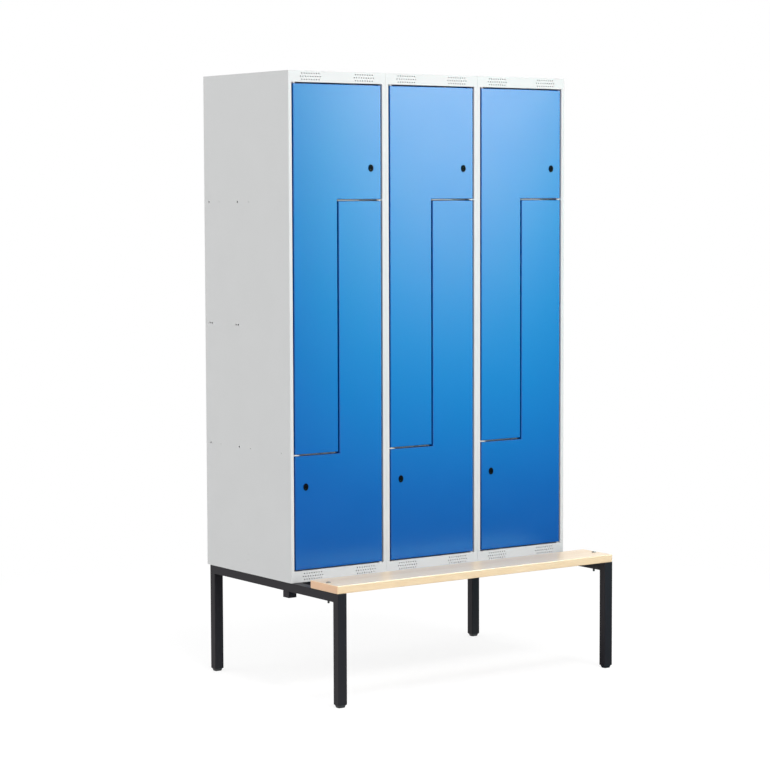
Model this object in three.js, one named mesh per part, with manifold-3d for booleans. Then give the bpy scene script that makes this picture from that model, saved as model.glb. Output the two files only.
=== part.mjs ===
// A steel locker of three modules with Z-shaped doors, standing on a tube stand whose side
// frames reach forward to carry a bench board. Millimetres, +Z up, the front faces -Y, and
// the origin lies on the floor under the centre of the whole.

import * as THREE from 'three';
import { mergeGeometries, mergeVertices } from 'three/addons/utils/BufferGeometryUtils.js';
import Module from 'manifold-3d';

const wasm = await Module();
wasm.setup();

// Overall sizes
const moduleNames = ['left', 'centre', 'right'];
const moduleWidth = 400;
const bodyHeight = 1740;
const bodyDepth = 550;
const standHeight = 385;
const benchReach = 280;

// Sheet metal and the clearances between pieces
const sheet = 1;
const seatGap = 0.3;
const overrun = 5;

// Front frame of a module
const stileWidth = 13.5;
const railHeight = 39;
const frameReturn = 24;

// Rows of vent holes in the top and bottom rails
const ventHole = 4.4;
const ventPitch = 10;
const ventRowSpacing = 10.3;
const ventRowCounts = [8, 9, 8];
const ventGroupOffset = 110;
const ventSides = 6;

// Doors: a pair fills the opening, and the cut between them has the shape of a Z
const doorStileGap = 6;
const doorRailGap = 4.5;
const doorRecess = 0.5;
const doorDepth = 18;
const doorLip = 8;
const cutWidth = 6;
const cutInset = 437;
const stiffenerWidth = 40;
const stiffenerDepth = 10;
const stiffenerEndGap = 24;

// Door pivots
const pivotInset = 5;
const pinDiameter = 6;
const pinReach = 8;
const shoulderDiameter = 9;
const lugWidth = 22;
const lugThickness = 3;
const lugSetback = 0.5;
const pinSides = 12;
const hexSides = 6;

// Cam locks
const lockInset = 42.5;
const lockRise = 110;
const lockFaceWidth = 20.4;
const lockFaceHeight = 25;
const lockFaceThickness = 1.7;
const barrelDiameter = 17;
const plugDiameter = 10.4;
const plugSetback = 0.4;
const keySlotHeight = 7;
const keySlotWidth = 1.6;
const keySlotDepth = 8;
const camClearance = 0.8;
const camThickness = 2;
const camWidth = 14;
const camOverlap = 8;
const camScrewAcrossCorners = 9;
const camScrewHeight = 4;
const camSteps = 4;
const lockSides = 18;

// Inner walls, shelves and coat rails
const panelFlange = 14;
const cornerFlange = 11;
const shelfFlange = 15;
const shelfLip = 15;
const joinHole = 7;
const joinRearInset = 32.5;
const joinMiddleInset = 222;
const joinPitch = 14.5;
const joinRowInset = 5;
const dividerLip = 12;
const tongueLength = 91;
const tongueSetback = 4;
const tongueThickness = 3;
const lowerLipLength = 135;
const coatRailDiameter = 16;
const coatRailWall = 1.5;
const coatRailDrop = 75;
const narrowRailDrop = 40;
const railCupDiameter = 30;
const railCupThickness = 3;
const hookPitch = 90;
const hookThickness = 5;
const hookWire = 6;
const hookDrop = 26;
const hookSpan = 44;
const hookRise = 14;

// Stand of rectangular steel tube
const standInset = 2;
const tubeWidth = 35;
const tubeHeight = 30;
const tubeWall = 2;
const rearLegInset = 15;
const beamDepth = 35;
const frontBeamSetback = 20;
const footHeight = 10;
const footPlugLength = 20;
const footMargin = 1;
const footCorner = 7;
const footTaperShare = 0.78;
const cornerSteps = 2;

// Saddle blocks and the bolts that hold the body on the stand
const saddleWidth = 32;
const saddleHeight = 22.5;
const saddleWall = 3;
const boltDiameter = 8;
const boltHoleGap = 0.3;
const hexAcrossFlats = 13;
const hexHeadHeight = 5.3;
const nutHeight = 9.5;
const nutCap = 1.5;
const boltSides = 12;

// Bench board and its bolts
const boardDepth = 165;
const boardThickness = 27;
const boardOverhang = 2;
const boardCorner = 6;
const boardEase = 2.5;
const boardEaseSteps = 1;
const benchHeadDiameter = 16;
const benchHeadHeight = 3;
const benchBoltTip = 12;
const rivetFlangeDiameter = 14;
const rivetFlangeThickness = 1.5;
const rivetSleeveDiameter = 11;
const rivetSleeveLength = 10;

// Derived places. The body's own frame has its origin at the middle of its lower front
// edge, and a module's frame at the centre of the module's front.
const bodyWidth = moduleNames.length * moduleWidth;
const bodyFront = benchReach - (bodyDepth + benchReach) / 2;
const halfWidth = moduleWidth / 2;
const halfHeight = bodyHeight / 2;
const openingHalfWidth = halfWidth - stileWidth;
const openingHalfHeight = halfHeight - railHeight;
const doorHalfWidth = openingHalfWidth - doorStileGap;
const doorTop = openingHalfHeight - doorRailGap;
const cutZ = halfHeight - cutInset;
const doorBack = doorRecess + doorDepth;
const pivotX = pivotInset - doorHalfWidth;
const pivotY = doorRecess + pivotInset;
const lockX = doorHalfWidth - lockInset;
const lockZ = cutZ + lockRise;
const upperShelfZ = [cutZ - tongueThickness / 2, cutZ - tongueThickness / 2 + sheet];
const lowerShelfZ = [-cutZ - sheet / 2, sheet / 2 - cutZ];
const camFront = frameReturn + camClearance;
const innerFront = frameReturn + 2 * seatGap;
const backPanelFront = bodyDepth - 2 * sheet - seatGap;
const innerBack = backPanelFront - seatGap;
const innerHalfWidth = halfWidth - sheet - seatGap;
const standHalfWidth = bodyWidth / 2 - standInset;
const tubeCentreX = standHalfWidth - tubeWidth / 2;
const railTop = standHeight - seatGap;
const railBottom = railTop - tubeHeight;
const standFront = bodyFront - benchReach;
const standBack = bodyFront + bodyDepth - rearLegInset;
const frontBeamY = bodyFront + frontBeamSetback;
const saddleBoltY = frontBeamY + beamDepth / 2;
const boardTop = standHeight + boardThickness;
const boardBoltY = standFront + boardDepth / 2;
const boltHole = boltDiameter + 2 * boltHoleGap;
const hexAcrossCorners = hexAcrossFlats / Math.cos(Math.PI / 6);

// Materials
function steelPaint(color, roughness) {
  return new THREE.MeshStandardMaterial({ color, roughness, metalness: 0.1 });
}
const bodyPaint = steelPaint('#d3d5d4', 0.55);
const doorPaint = steelPaint('#0b68b3', 0.35);
const standPaint = steelPaint('#28262a', 0.5);
const lockPlastic = new THREE.MeshStandardMaterial({ color: '#16161a', roughness: 0.4, metalness: 0 });
const zincSteel = new THREE.MeshStandardMaterial({ color: '#b9bcc0', roughness: 0.35, metalness: 0.9 });
const footPlastic = new THREE.MeshStandardMaterial({ color: '#1b1b1d', roughness: 0.7, metalness: 0 });
const boardWood = new THREE.MeshStandardMaterial({ color: '#ead5b3', roughness: 0.5, metalness: 0 });

// Shapes as three.js geometries
// A box's corners are set from its spans, so that boxes with a shared plane meet exactly
function block(xSpan, ySpan, zSpan) {
  const geometry = new THREE.BoxGeometry();
  const corners = geometry.attributes.position;
  const pick = (span, coordinate) => (coordinate < 0 ? span[0] : span[1]);
  for (let i = 0; i < corners.count; i += 1) {
    corners.setXYZ(
      i,
      pick(xSpan, corners.getX(i)),
      pick(ySpan, corners.getY(i)),
      pick(zSpan, corners.getZ(i)),
    );
  }
  return geometry;
}

// An outline swept along one axis, with its two ends set from the span in the same way.
// Curved stretches take 2 * steps chords, and a full circle does too.
function prism(outline, steps, place) {
  const geometry = new THREE.ExtrudeGeometry(outline, {
    depth: 1,
    bevelEnabled: false,
    curveSegments: steps,
  });
  const points = geometry.attributes.position;
  for (let i = 0; i < points.count; i += 1) {
    points.setXYZ(i, ...place(points.getX(i), points.getY(i), Math.round(points.getZ(i))));
  }
  return geometry;
}

function prismX(outline, span, steps = 1) {
  return prism(outline, steps, (y, z, end) => [span[end], y, z]);
}

function prismY(outline, span, steps = 1) {
  return prism(outline, steps, (x, z, end) => [x, span[1 - end], z]);
}

function prismZ(outline, span, steps = 1) {
  return prism(outline, steps, (x, y, end) => [x, y, span[end]]);
}

function circle(diameter, x, y) {
  return new THREE.Shape().absarc(x, y, diameter / 2, 0, 2 * Math.PI);
}

function polygon(corners) {
  return new THREE.Shape(corners.map(([x, y]) => new THREE.Vector2(x, y)));
}

function rodX(diameter, span, y, z, sides) {
  return prismX(circle(diameter, y, z), span, sides / 2);
}

function rodY(diameter, x, span, z, sides) {
  return prismY(circle(diameter, x, z), span, sides / 2);
}

function rodZ(diameter, x, y, span, sides) {
  return prismZ(circle(diameter, x, y), span, sides / 2);
}

function turned(geometry) {
  return geometry.clone().rotateY(Math.PI);
}

function roundedOutline(width, depth, radius) {
  const x = width / 2;
  const y = depth / 2;
  const outline = new THREE.Shape();
  outline.absarc(x - radius, y - radius, radius, 0, Math.PI / 2);
  outline.absarc(radius - x, y - radius, radius, Math.PI / 2, Math.PI);
  outline.absarc(radius - x, radius - y, radius, Math.PI, 1.5 * Math.PI);
  outline.absarc(x - radius, radius - y, radius, 1.5 * Math.PI, 2 * Math.PI);
  return outline;
}

// Joins and cuts
function solid(geometry) {
  const bare = geometry.index ? geometry.toNonIndexed() : geometry.clone();
  bare.deleteAttribute('normal');
  bare.deleteAttribute('uv');
  const merged = mergeVertices(bare);
  return new wasm.Manifold(new wasm.Mesh({
    numProp: 3,
    vertProperties: Float32Array.from(merged.attributes.position.array),
    triVerts: Uint32Array.from(merged.index.array),
  }));
}

function shape(built) {
  const mesh = built.getMesh();
  const geometry = new THREE.BufferGeometry();
  geometry.setAttribute('position', new THREE.BufferAttribute(mesh.vertProperties, 3));
  geometry.setIndex(new THREE.BufferAttribute(mesh.triVerts, 1));
  return geometry;
}

function build(parts, cuts = []) {
  const joined = parts.map(solid).reduce((whole, part) => whole.add(part));
  return shape(cuts.map(solid).reduce((whole, cut) => whole.subtract(cut), joined));
}

function piece(name, geometry, material) {
  const faces = geometry.index ? geometry.toNonIndexed() : geometry;
  faces.computeVertexNormals();
  const mesh = new THREE.Mesh(faces, material.clone());
  mesh.name = name;
  return mesh;
}

// Vent holes: four groups of staggered rows, two in each rail
function ventHoles() {
  const railZ = halfHeight - railHeight / 2;
  const holes = [];
  for (const groupX of [-ventGroupOffset, ventGroupOffset]) {
    for (const groupZ of [-railZ, railZ]) {
      ventRowCounts.forEach((count, row) => {
        const z = groupZ + (row - (ventRowCounts.length - 1) / 2) * ventRowSpacing;
        for (let i = 0; i < count; i += 1) {
          const x = groupX + (i - (count - 1) / 2) * ventPitch;
          holes.push(rodY(ventHole, x, [-overrun, sheet + overrun], z, ventSides));
        }
      });
    }
  }
  return mergeGeometries(holes);
}

// The pins that one door turns on: the upper one hangs from the head of the opening, and the
// lower one stands on a lug in the cut. The other door's pins are the same, turned half round.
function doorPins() {
  const doorFoot = cutWidth / 2 - cutZ;
  const rootZ = openingHalfHeight + sheet / 2;
  const lugRootX = -openingHalfWidth - sheet / 2;
  const lugZ = [-cutZ - lugThickness / 2, lugThickness / 2 - cutZ];
  return [
    rodZ(pinDiameter, pivotX, pivotY, [doorTop - pinReach, rootZ], pinSides),
    rodZ(shoulderDiameter, pivotX, pivotY, [doorTop + seatGap, rootZ], pinSides),
    block([lugRootX, lugWidth - openingHalfWidth], [lugSetback, frameReturn], lugZ),
    rodZ(pinDiameter, pivotX, pivotY, [-cutZ, doorFoot + pinReach], pinSides),
    rodZ(shoulderDiameter, pivotX, pivotY, [-cutZ, doorFoot - seatGap], pinSides),
  ];
}

// Front frame: a flat face with vent holes, a folded return round the opening and the pins
function frontFrame() {
  const faceHalfWidth = halfWidth - seatGap / 2;
  const returnX = openingHalfWidth + sheet;
  const returnZ = openingHalfHeight + sheet;
  const face = block([-faceHalfWidth, faceHalfWidth], [0, sheet], [-halfHeight, halfHeight]);
  const fold = block([-returnX, returnX], [sheet / 2, frameReturn], [-returnZ, returnZ]);
  const opening = block(
    [-openingHalfWidth, openingHalfWidth],
    [-overrun, frameReturn + overrun],
    [-openingHalfHeight, openingHalfHeight],
  );
  const ring = build([face, fold], [opening, ventHoles()]);
  const pins = doorPins();
  return build([ring, ...pins, ...pins.map(turned)]);
}

// A door's outline, the wide part and the narrow arm below it, drawn in by a margin
function doorPrism(margin, ySpan) {
  const left = margin - doorHalfWidth;
  const right = doorHalfWidth - margin;
  const armRight = -cutWidth / 2 - margin;
  const top = doorTop - margin;
  const step = cutZ + cutWidth / 2 + margin;
  const bottom = cutWidth / 2 - cutZ + margin;
  return prismY(polygon([
    [left, bottom],
    [armRight, bottom],
    [armRight, step],
    [right, step],
    [right, top],
    [left, top],
  ]), ySpan);
}

// Upper door: a folded pan with lips, a stiffener behind its arm and holes for pins and lock.
// The lower door is the same piece turned half round.
function door() {
  const foot = cutWidth / 2 - cutZ;
  const armCentre = -(doorHalfWidth + cutWidth / 2) / 2;
  const ribX = [armCentre - stiffenerWidth / 2, armCentre + stiffenerWidth / 2];
  const ribBack = doorRecess + sheet + stiffenerDepth;
  const rib = prismZ(polygon([
    [ribX[0], doorRecess + sheet / 2],
    [ribX[0] + sheet, doorRecess + sheet / 2],
    [ribX[0] + sheet, ribBack - sheet],
    [ribX[1] - sheet, ribBack - sheet],
    [ribX[1] - sheet, doorRecess + sheet / 2],
    [ribX[1], doorRecess + sheet / 2],
    [ribX[1], ribBack],
    [ribX[0], ribBack],
  ]), [foot + stiffenerEndGap, doorTop - stiffenerEndGap]);
  const shell = build([doorPrism(0, [doorRecess, doorBack])], [
    doorPrism(sheet, [doorRecess + sheet, doorBack - sheet]),
    doorPrism(sheet + doorLip, [doorBack - 2 * sheet, doorBack + overrun]),
  ]);
  const pinHole = pinDiameter + 2 * seatGap;
  const lockHole = barrelDiameter + 2 * seatGap;
  return build([shell, rib], [
    rodZ(pinHole, pivotX, pivotY, [doorTop - doorLip, doorTop + overrun], pinSides),
    rodZ(pinHole, pivotX, pivotY, [foot - overrun, foot + doorLip], pinSides),
    rodY(lockHole, lockX, [-overrun, doorRecess + sheet + overrun], lockZ, lockSides),
  ]);
}

// Lock housing: an oval face on the door and a barrel through it, bored for the plug
function lockHousing() {
  const faceBack = doorRecess - seatGap;
  const faceFront = faceBack - lockFaceThickness;
  const oval = new THREE.Shape();
  oval.absellipse(lockX, lockZ, lockFaceWidth / 2, lockFaceHeight / 2, 0, 2 * Math.PI);
  const barrel = [faceBack - lockFaceThickness / 2, camFront - seatGap];
  const bore = [faceFront - overrun, camFront + overrun];
  return build([
    prismY(oval, [faceFront, faceBack], lockSides / 2),
    rodY(barrelDiameter, lockX, barrel, lockZ, lockSides),
  ], [rodY(plugDiameter + 2 * seatGap, lockX, bore, lockZ, lockSides)]);
}

// Plug and cam turn together. At rest the cam points away from the door's cut, which is
// unlocked, and a quarter turn brings it behind the frame's folded return.
function lockCam() {
  const plugFront = doorRecess - seatGap - lockFaceThickness + plugSetback;
  const camBack = camFront + camThickness;
  const camMiddle = camFront + camThickness / 2;
  const camEndZ = lockZ + openingHalfWidth + camOverlap - lockX - camWidth / 2;
  const arm = new THREE.Shape();
  arm.absarc(lockX, lockZ, camWidth / 2, Math.PI, 2 * Math.PI);
  arm.absarc(lockX, camEndZ, camWidth / 2, 0, Math.PI);
  const slot = block(
    [lockX - keySlotWidth / 2, lockX + keySlotWidth / 2],
    [plugFront - overrun, plugFront + keySlotDepth],
    [lockZ - keySlotHeight / 2, lockZ + keySlotHeight / 2],
  );
  return build([
    rodY(plugDiameter, lockX, [plugFront, camMiddle], lockZ, lockSides),
    prismY(arm, [camFront, camBack], camSteps),
    rodY(camScrewAcrossCorners, lockX, [camMiddle, camBack + camScrewHeight], lockZ, hexSides),
  ], [slot]);
}

// Wall between the two narrow compartments, with its front edge folded over
function centreDivider() {
  const z = [lowerShelfZ[1] + seatGap, upperShelfZ[0] - seatGap];
  return prismZ(polygon([
    [-sheet / 2, innerFront],
    [dividerLip, innerFront],
    [dividerLip, innerFront + sheet],
    [sheet / 2, innerFront + sheet],
    [sheet / 2, innerBack],
    [-sheet / 2, innerBack],
  ]), z);
}

// Upper shelf: closes the right-hand narrow compartment. Its edges are folded up, and its
// tongue reaches forward into the cut.
function upperShelf() {
  const z = upperShelfZ;
  const wallX = innerHalfWidth;
  return build([
    block([-sheet / 2, wallX], [innerFront, innerBack], [z[0], z[1] + shelfFlange]),
    block(
      [sheet / 2, tongueLength],
      [doorRecess + tongueSetback, innerFront + sheet / 2],
      [z[0], z[0] + tongueThickness],
    ),
  ], [block(
    [-sheet / 2 - overrun, wallX - sheet],
    [innerFront + sheet, innerBack - sheet],
    [z[1], z[1] + shelfFlange + overrun],
  )]);
}

// Lower shelf: the floor of the left-hand narrow compartment. Its edges are folded down, and
// a short lip stands up in front.
function lowerShelf() {
  const z = lowerShelfZ;
  const wallX = -innerHalfWidth;
  return build([
    block([wallX, sheet / 2], [innerFront, innerBack], [z[0] - shelfFlange, z[1]]),
    block(
      [wallX + sheet, wallX + sheet + lowerLipLength],
      [innerFront, innerFront + sheet],
      [z[0], z[1] + shelfLip],
    ),
  ], [block(
    [wallX + sheet, sheet / 2 + overrun],
    [innerFront + sheet, innerBack - sheet],
    [z[0] - shelfFlange - overrun, z[0]],
  )]);
}

// A hook under a coat rail: a flat stem with a prong to the front and one to the back
function railHook(x, y, z) {
  const outer = hookSpan / 2;
  const inner = outer - hookWire;
  const stem = hookWire / 2;
  const top = z - (coatRailDiameter - coatRailWall) / 2;
  const foot = top - hookDrop;
  return prismX(polygon([
    [y - inner, foot],
    [y + inner, foot],
    [y + outer, foot + stem],
    [y + outer, foot + hookRise],
    [y + inner, foot + hookRise],
    [y + inner, foot + hookWire],
    [y + stem, foot + hookWire],
    [y + stem, top],
    [y - stem, top],
    [y - stem, foot + hookWire],
    [y - inner, foot + hookWire],
    [y - inner, foot + hookRise],
    [y - outer, foot + hookRise],
    [y - outer, foot + stem],
  ]), [x - hookThickness / 2, x + hookThickness / 2]);
}

// Coat rail: a tube between two end cups, with hooks set evenly about its middle
function coatRail(x0, x1, z, hookCount) {
  const y = (innerFront + innerBack) / 2;
  const middle = (x0 + x1) / 2;
  const hooks = Array.from({ length: hookCount }, (_, i) => (
    railHook(middle + (i - (hookCount - 1) / 2) * hookPitch, y, z)
  ));
  const cup = railCupThickness;
  const bore = coatRailDiameter - 2 * coatRailWall;
  return build([
    rodX(coatRailDiameter, [x0 + cup / 2, x1 - cup / 2], y, z, pinSides),
    rodX(railCupDiameter, [x0, x0 + cup], y, z, pinSides),
    rodX(railCupDiameter, [x1 - cup, x1], y, z, pinSides),
    ...hooks,
  ], [rodX(bore, [x0 - overrun, x1 + overrun], y, z, pinSides)]);
}

// One module: frame, divider, shelves, coat rails, and the doors with their locks
function lockerModule(name) {
  const group = new THREE.Group();
  const sheetSide = sheet / 2 + seatGap;
  group.add(
    piece(`front_frame_${name}`, frontFrame(), bodyPaint),
    piece(`centre_divider_${name}`, centreDivider(), bodyPaint),
    piece(`upper_shelf_${name}`, upperShelf(), bodyPaint),
    piece(`lower_shelf_${name}`, lowerShelf(), bodyPaint),
    piece(
      `coat_rail_upper_${name}`,
      coatRail(-innerHalfWidth, innerHalfWidth, halfHeight - coatRailDrop, 3),
      zincSteel,
    ),
    piece(`coat_rail_lower_${name}`, coatRail(sheetSide, innerHalfWidth, cutZ - narrowRailDrop, 2), zincSteel),
  );
  for (const level of ['upper', 'lower']) {
    const doorGroup = new THREE.Group();
    doorGroup.rotation.y = level === 'upper' ? 0 : Math.PI;
    doorGroup.add(
      piece(`door_${level}_${name}`, door(), doorPaint),
      piece(`lock_housing_${level}_${name}`, lockHousing(), lockPlastic),
      piece(`lock_cam_${level}_${name}`, lockCam(), zincSteel),
    );
    group.add(doorGroup);
  }
  return group;
}

// Side panel: a wide sheet with a folded corner in front and a flange behind, and punched
// holes for joining lockers in a row. The right-hand panel mirrors the left-hand one.
function sidePanel(side) {
  const x = (inset) => side * (bodyWidth / 2 - inset);
  const front = sheet + seatGap;
  const corners = [
    [x(0), front],
    [x(cornerFlange), front],
    [x(cornerFlange), front + sheet],
    [x(sheet), front + sheet],
    [x(sheet), bodyDepth - sheet],
    [x(panelFlange), bodyDepth - sheet],
    [x(panelFlange), bodyDepth],
    [x(0), bodyDepth],
  ];
  const rear = bodyDepth - joinRearInset;
  const middle = bodyDepth - joinMiddleInset;
  const rowZ = cutZ - joinRowInset;
  const holes = [
    ...[-rowZ, rowZ].flatMap((z) => [[rear, z], [middle, z]]),
    ...[rear, rear - joinPitch, middle + joinPitch, middle].map((y) => [y, 0]),
  ];
  const through = [x(-overrun), x(sheet + overrun)].sort((a, b) => a - b);
  return build([prismZ(polygon(corners), [0, bodyHeight])], holes.map(([y, z]) => (
    rodX(joinHole, through, y, halfHeight + z, ventSides)
  )));
}

// Wall between two modules, named after both
function partitionWall(x) {
  const margin = sheet + seatGap;
  return block([x - sheet / 2, x + sheet / 2], [margin, innerBack], [margin, bodyHeight - margin]);
}

// A flat panel that closes the body below: its corners are notched round the side panels,
// and its edges are folded up at both sides and behind
function flatPanel() {
  const halfX = bodyWidth / 2 - sheet - seatGap;
  const front = sheet + seatGap;
  const sideFront = front + sheet + seatGap;
  const sideRear = bodyDepth - sheet - seatGap;
  const frontX = bodyWidth / 2 - cornerFlange - seatGap;
  const rearX = bodyWidth / 2 - panelFlange - seatGap;
  const right = [
    [frontX, front],
    [frontX, sideFront],
    [halfX, sideFront],
    [halfX, sideRear],
    [rearX, sideRear],
    [rearX, bodyDepth],
  ];
  const left = right.map(([x, y]) => [-x, y]).reverse();
  const inner = [sheet, panelFlange + overrun];
  return build([prismZ(polygon([...right, ...left]), [0, panelFlange])], [
    block([sheet - halfX, halfX - sheet], [-overrun, bodyDepth - sheet], inner),
    block([-halfX - overrun, halfX + overrun], [innerBack, bodyDepth - sheet], inner),
  ]);
}

// Bottom panel: with a welded cap nut over each saddle block, which covers the bolt's tip
function bottomPanel() {
  const nutY = saddleBoltY - bodyFront;
  const sides = [-tubeCentreX, tubeCentreX];
  const nut = [sheet / 2, sheet + nutHeight];
  const hole = [-overrun, sheet + nutHeight - nutCap];
  return build(
    [flatPanel(), ...sides.map((x) => rodZ(hexAcrossCorners, x, nutY, nut, hexSides))],
    sides.map((x) => rodZ(boltHole, x, nutY, hole, boltSides)),
  );
}

// Top panel: the same sheet as the bottom one, turned over
function topPanel() {
  return turned(flatPanel()).translate(0, 0, bodyHeight);
}

function backPanel() {
  const halfX = bodyWidth / 2 - sheet - seatGap;
  const margin = sheet + seatGap;
  return block([-halfX, halfX], [backPanelFront, backPanelFront + sheet], [margin, bodyHeight - margin]);
}

// The locker body: panels and the three modules
function lockerBody() {
  const group = new THREE.Group();
  group.position.set(0, bodyFront, standHeight);
  group.add(
    piece('side_panel_left', sidePanel(-1), bodyPaint),
    piece('side_panel_right', sidePanel(1), bodyPaint),
    piece('top_panel', topPanel(), bodyPaint),
    piece('bottom_panel', bottomPanel(), bodyPaint),
    piece('back_panel', backPanel(), bodyPaint),
  );
  moduleNames.forEach((name, i) => {
    const left = i * moduleWidth - bodyWidth / 2;
    const part = lockerModule(name);
    part.position.set(left + halfWidth, 0, halfHeight);
    group.add(part);
    if (i > 0) {
      group.add(piece(`partition_wall_${moduleNames[i - 1]}_${name}`, partitionWall(left), bodyPaint));
    }
  });
  return group;
}

// Side frame of the stand: two legs and a rail of welded tube, open at the feet
function sideFrame(side) {
  const x = side * tubeCentreX;
  const frame = (margin, foot) => {
    const halfTube = tubeWidth / 2 - margin;
    const front = standFront + margin;
    const back = standBack - margin;
    const top = railTop - margin;
    const under = railBottom + margin;
    const legInner = tubeHeight - margin;
    return prismX(polygon([
      [front, foot],
      [standFront + legInner, foot],
      [standFront + legInner, under],
      [standBack - legInner, under],
      [standBack - legInner, foot],
      [back, foot],
      [back, top],
      [front, top],
    ]), [x - halfTube, x + halfTube]);
  };
  const rivetHole = rivetSleeveDiameter + 2 * seatGap;
  const middle = (railBottom + railTop) / 2;
  return build([frame(0, footHeight)], [
    frame(tubeWall, footHeight - overrun),
    rodZ(boltHole, x, boardBoltY, [middle, railTop + overrun], boltSides),
    rodZ(rivetHole, x, boardBoltY, [railBottom - overrun, middle], boltSides),
    rodZ(boltHole, x, saddleBoltY, [railBottom - overrun, railTop + overrun], boltSides),
  ]);
}

// Cross beam between the side frames
function crossBeam(y) {
  const halfX = standHalfWidth - tubeWidth - seatGap;
  return build([block([-halfX, halfX], [y, y + beamDepth], [railBottom, railTop])], [block(
    [-halfX - overrun, halfX + overrun],
    [y + tubeWall, y + beamDepth - tubeWall],
    [railBottom + tubeWall, railTop - tubeWall],
  )]);
}

// Foot: a plug inside the leg and a tapered pad below it
function foot(x, y) {
  const padTop = footHeight - seatGap;
  const outline = roundedOutline(tubeWidth - 2 * footMargin, tubeHeight - 2 * footMargin, footCorner);
  const pad = prismZ(outline, [0, padTop], cornerSteps);
  const points = pad.attributes.position;
  for (let i = 0; i < points.count; i += 1) {
    const share = points.getZ(i) < padTop / 2 ? footTaperShare : 1;
    points.setXY(i, points.getX(i) * share, points.getY(i) * share);
  }
  const plugX = tubeWidth / 2 - tubeWall - seatGap;
  const plugY = tubeHeight / 2 - tubeWall - seatGap;
  const plug = block([-plugX, plugX], [-plugY, plugY], [padTop / 2, footHeight + footPlugLength]);
  return build([pad, plug]).translate(x, y, 0);
}

// Saddle block under a side rail: a folded box, open below, that the fixing bolt pulls up
function saddleBlock(side) {
  const top = railBottom - seatGap;
  const outerX = side * standHalfWidth;
  const innerX = side * (standHalfWidth - saddleWidth);
  const x = [Math.min(outerX, innerX), Math.max(outerX, innerX)];
  const y = [frontBeamY, frontBeamY + beamDepth];
  return build([block(x, y, [top - saddleHeight, top])], [
    block(
      [x[0] + saddleWall, x[1] - saddleWall],
      [y[0] + saddleWall, y[1] - saddleWall],
      [top - saddleHeight - overrun, top - saddleWall],
    ),
    rodZ(boltHole, side * tubeCentreX, saddleBoltY, [top - saddleHeight, top + overrun], boltSides),
  ]);
}

// Fixing bolt: from the saddle block through the rail into the cap nut on the bottom panel
function fixingBolt(side) {
  const headTop = railBottom - seatGap - saddleWall - seatGap;
  const tip = standHeight + sheet + nutHeight - nutCap - seatGap;
  const x = side * tubeCentreX;
  return build([
    rodZ(hexAcrossCorners, x, saddleBoltY, [headTop - hexHeadHeight, headTop], hexSides),
    rodZ(boltDiameter, x, saddleBoltY, [headTop - hexHeadHeight / 2, tip], boltSides),
  ]);
}

// Bench board: one plank with rounded corners and eased edges
function benchBoard() {
  const outline = roundedOutline(
    2 * (standHalfWidth + boardOverhang - boardEase),
    boardDepth - 2 * boardEase,
    boardCorner - boardEase,
  );
  const plank = new THREE.ExtrudeGeometry(outline, {
    depth: boardThickness - 2 * boardEase,
    bevelThickness: boardEase,
    bevelSize: boardEase,
    bevelSegments: boardEaseSteps,
    curveSegments: cornerSteps,
  }).translate(0, boardBoltY, standHeight + boardEase);
  const holes = [-tubeCentreX, tubeCentreX].map((x) => (
    rodZ(boltHole, x, boardBoltY, [standHeight - overrun, boardTop + overrun], boltSides)
  ));
  return build([plank], holes);
}

// Bench bolt: a domed head on the board and a shank that ends under the rail
function benchBolt(side) {
  const headZ = boardTop + seatGap;
  const radius = benchHeadDiameter / 2;
  const rimShare = 0.3;
  const profile = [
    new THREE.Vector2(0, 0),
    new THREE.Vector2(radius, 0),
    new THREE.Vector2(radius, benchHeadHeight * rimShare),
    new THREE.Vector2(radius * Math.cos(Math.PI / 6), benchHeadHeight * (1 + rimShare) / 2),
    new THREE.Vector2(radius / 2, benchHeadHeight * (1 - rimShare / 3)),
    new THREE.Vector2(0, benchHeadHeight),
  ];
  const x = side * tubeCentreX;
  const head = new THREE.LatheGeometry(profile, boltSides).rotateX(Math.PI / 2);
  return build([
    head.translate(x, boardBoltY, headZ),
    rodZ(boltDiameter, x, boardBoltY, [railBottom - benchBoltTip, headZ + benchHeadHeight / 2], boltSides),
  ]);
}

// Rivet nut in the rail's lower wall, which the bench bolt screws into
function rivetNut(side) {
  const top = railBottom - seatGap;
  const x = side * tubeCentreX;
  const flangeZ = top - rivetFlangeThickness;
  const sleeveTop = top + rivetSleeveLength;
  return build([
    rodZ(rivetFlangeDiameter, x, boardBoltY, [flangeZ, top], boltSides),
    rodZ(rivetSleeveDiameter, x, boardBoltY, [flangeZ + rivetFlangeThickness / 2, sleeveTop], boltSides),
  ], [rodZ(boltHole, x, boardBoltY, [flangeZ - overrun, sleeveTop + overrun], boltSides)]);
}

// The stand with its bench
function benchStand() {
  const group = new THREE.Group();
  group.add(
    piece('front_beam', crossBeam(frontBeamY), standPaint),
    piece('rear_beam', crossBeam(standBack - tubeHeight - beamDepth), standPaint),
    piece('bench_board', benchBoard(), boardWood),
  );
  for (const [name, side] of [['left', -1], ['right', 1]]) {
    group.add(
      piece(`side_frame_${name}`, sideFrame(side), standPaint),
      piece(`foot_front_${name}`, foot(side * tubeCentreX, standFront + tubeHeight / 2), footPlastic),
      piece(`foot_rear_${name}`, foot(side * tubeCentreX, standBack - tubeHeight / 2), footPlastic),
      piece(`saddle_block_${name}`, saddleBlock(side), standPaint),
      piece(`fixing_bolt_${name}`, fixingBolt(side), zincSteel),
      piece(`bench_bolt_${name}`, benchBolt(side), zincSteel),
      piece(`rivet_nut_${name}`, rivetNut(side), zincSteel),
    );
  }
  return group;
}

const locker = new THREE.Group();
locker.add(lockerBody(), benchStand());

export default locker;
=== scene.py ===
import math

import bmesh
import bpy
from mathutils import Matrix, Vector


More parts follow.
